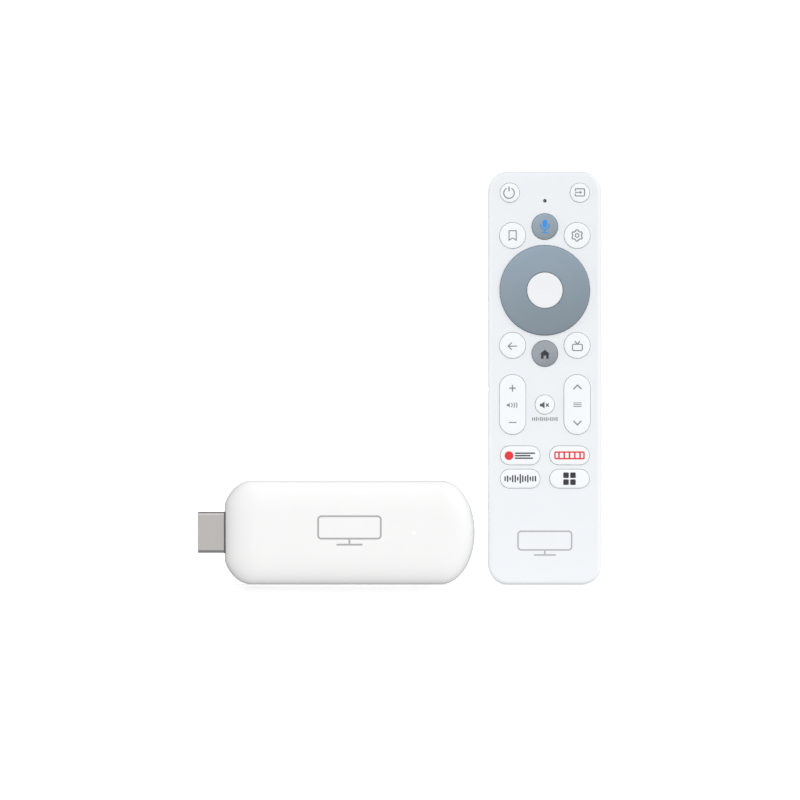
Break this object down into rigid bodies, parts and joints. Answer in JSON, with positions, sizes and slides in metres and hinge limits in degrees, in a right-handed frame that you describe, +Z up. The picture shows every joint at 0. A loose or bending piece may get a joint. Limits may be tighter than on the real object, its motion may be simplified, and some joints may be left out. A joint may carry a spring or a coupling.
{
  "type": "streaming media player",
  "caption": "Slim white video stick with a metal plug at one end, standing on its long edge beside its upright hand remote with a round grey direction pad.",
  "frame": {"origin": "centre of the bottom of the whole set, on the surface both devices stand on", "axes": "+Z up, +Y away from the viewer of the two front faces, +X to that viewer's right, from the plug towards the remote"},
  "size_m": [0.1378, 0.0184, 0.141],
  "materials": {
    "stick_white": "satin",
    "remote_white": "fine matt grain",
    "key_white": "fine matt grain",
    "key_grey": "fine matt grain",
    "plug_steel": "satin plated",
    "black_plastic": "moulded",
    "circuit_board": "solder mask",
    "chip_black": "moulded epoxy",
    "tinplate": "satin",
    "aluminium": "rolled",
    "thermal_pad": "soft",
    "silicone": "soft",
    "battery_case": "printed sleeve",
    "nickel": "bright plated",
    "clear_plastic": "clear",
    "infrared_window": "dark gloss",
    "gold_contact": "plated",
    "print_grey": "printed ink",
    "print_dark": "printed ink",
    "print_red": "printed ink",
    "print_blue": "printed ink"
  },
  "bodies": {
    "stick": {"stick_front_shell": "stick_white", "stick_rear_shell": "stick_white", "video_plug_shell": "plug_steel", "video_plug_insert": "black_plastic", "stick_circuit_board": "circuit_board", "shield_can": "tinplate", "processor": "chip_black", "memory_chip": "chip_black", "storage_chip": "chip_black", "thermal_pad": "thermal_pad", "heat_spreader": "aluminium", "wireless_module": "tinplate", "stick_antenna": "nickel", "status_led": "clear_plastic", "light_pipe": "clear_plastic", "stick_board_screw_1": "nickel", "stick_board_screw_2": "nickel", "power_socket_shell": "plug_steel", "power_socket_tongue": "black_plastic", "reset_switch": "chip_black"},
    "remote": {"remote_front_shell": "remote_white", "remote_rear_shell": "remote_white", "infrared_window": "infrared_window", "remote_circuit_board": "circuit_board", "keypad_membrane": "silicone", "microphone": "tinplate", "infrared_led": "clear_plastic", "remote_radio_module": "tinplate", "remote_board_screw_1": "nickel", "remote_board_screw_2": "nickel", "battery_left": "battery_case", "battery_right": "battery_case", "battery_bridge_contact": "nickel", "battery_negative_contact": "nickel", "battery_positive_contact": "nickel"},
    "reset_button": {"reset_button": "stick_white"},
    "battery_cover": {"battery_cover": "remote_white"},
    "power_button": {"power_button": "key_white"},
    "input_button": {"input_button": "key_white"},
    "assistant_button": {"assistant_button": "key_grey"},
    "bookmark_button": {"bookmark_button": "key_white"},
    "settings_button": {"settings_button": "key_white"},
    "back_button": {"back_button": "key_white"},
    "home_button": {"home_button": "key_grey"},
    "tv_button": {"tv_button": "key_white"},
    "mute_button": {"mute_button": "key_white"},
    "volume_rocker": {"volume_rocker": "key_white"},
    "channel_rocker": {"channel_rocker": "key_white"},
    "app_button_1": {"app_button_1": "key_white"},
    "app_button_2": {"app_button_2": "key_white"},
    "app_button_3": {"app_button_3": "key_white"},
    "app_button_4": {"app_button_4": "key_white"},
    "ok_button": {"ok_button": "key_white"},
    "dpad_ring": {"dpad_ring": "key_grey"},
    "dpad_pivot_frame": {"dpad_pivot_frame": "black_plastic"}
  },
  "joints": [
    {"name": "remote_lift", "type": "slide", "parent": "stick", "child": "remote", "axis": [0, 0, 1], "range_m": [0, 0.1]},
    {"name": "reset_press", "type": "slide", "parent": "stick", "child": "reset_button", "axis": [0, 0, -1], "range_m": [0, 0.00025], "stiffness_N_per_m": 1500},
    {"name": "power_press", "type": "slide", "parent": "remote", "child": "power_button", "axis": [0, 1, 0], "range_m": [0, 0.0005], "stiffness_N_per_m": 800},
    {"name": "input_press", "type": "slide", "parent": "remote", "child": "input_button", "axis": [0, 1, 0], "range_m": [0, 0.0005], "stiffness_N_per_m": 800},
    {"name": "assistant_press", "type": "slide", "parent": "remote", "child": "assistant_button", "axis": [0, 1, 0], "range_m": [0, 0.0005], "stiffness_N_per_m": 800},
    {"name": "bookmark_press", "type": "slide", "parent": "remote", "child": "bookmark_button", "axis": [0, 1, 0], "range_m": [0, 0.0005], "stiffness_N_per_m": 800},
    {"name": "settings_press", "type": "slide", "parent": "remote", "child": "settings_button", "axis": [0, 1, 0], "range_m": [0, 0.0005], "stiffness_N_per_m": 800},
    {"name": "back_press", "type": "slide", "parent": "remote", "child": "back_button", "axis": [0, 1, 0], "range_m": [0, 0.0005], "stiffness_N_per_m": 800},
    {"name": "home_press", "type": "slide", "parent": "remote", "child": "home_button", "axis": [0, 1, 0], "range_m": [0, 0.0005], "stiffness_N_per_m": 800},
    {"name": "tv_press", "type": "slide", "parent": "remote", "child": "tv_button", "axis": [0, 1, 0], "range_m": [0, 0.0005], "stiffness_N_per_m": 800},
    {"name": "mute_press", "type": "slide", "parent": "remote", "child": "mute_button", "axis": [0, 1, 0], "range_m": [0, 0.0005], "stiffness_N_per_m": 800},
    {"name": "app_1_press", "type": "slide", "parent": "remote", "child": "app_button_1", "axis": [0, 1, 0], "range_m": [0, 0.0005], "stiffness_N_per_m": 800},
    {"name": "app_2_press", "type": "slide", "parent": "remote", "child": "app_button_2", "axis": [0, 1, 0], "range_m": [0, 0.0005], "stiffness_N_per_m": 800},
    {"name": "app_3_press", "type": "slide", "parent": "remote", "child": "app_button_3", "axis": [0, 1, 0], "range_m": [0, 0.0005], "stiffness_N_per_m": 800},
    {"name": "app_4_press", "type": "slide", "parent": "remote", "child": "app_button_4", "axis": [0, 1, 0], "range_m": [0, 0.0005], "stiffness_N_per_m": 800},
    {"name": "ok_press", "type": "slide", "parent": "remote", "child": "ok_button", "axis": [0, 1, 0], "range_m": [0, 0.0005], "stiffness_N_per_m": 800},
    {"name": "volume_rock", "type": "hinge", "parent": "remote", "child": "volume_rocker", "pos_m": [0.0387, -0.006, 0.0615], "axis": [1, 0, 0], "range_deg": [-2, 2], "stiffness_Nm_per_rad": 0.1},
    {"name": "channel_rock", "type": "hinge", "parent": "remote", "child": "channel_rocker", "pos_m": [0.0607, -0.006, 0.0615], "axis": [1, 0, 0], "range_deg": [-2, 2], "stiffness_Nm_per_rad": 0.1},
    {"name": "dpad_up_down_rock", "type": "hinge", "parent": "remote", "child": "dpad_pivot_frame", "pos_m": [0.0497, -0.00635, 0.1005], "axis": [1, 0, 0], "range_deg": [-1.2, 1.2], "stiffness_Nm_per_rad": 0.15},
    {"name": "dpad_left_right_rock", "type": "hinge", "parent": "dpad_pivot_frame", "child": "dpad_ring", "pos_m": [0.0497, -0.00635, 0.1005], "axis": [0, 0, 1], "range_deg": [-1.2, 1.2], "stiffness_Nm_per_rad": 0.15},
    {"name": "battery_cover_hinge", "type": "hinge", "parent": "remote", "child": "battery_cover", "pos_m": [0.0497, 0.00915, 0.0095], "axis": [-1, 0, 0], "range_deg": [0, 75]}
  ]
}
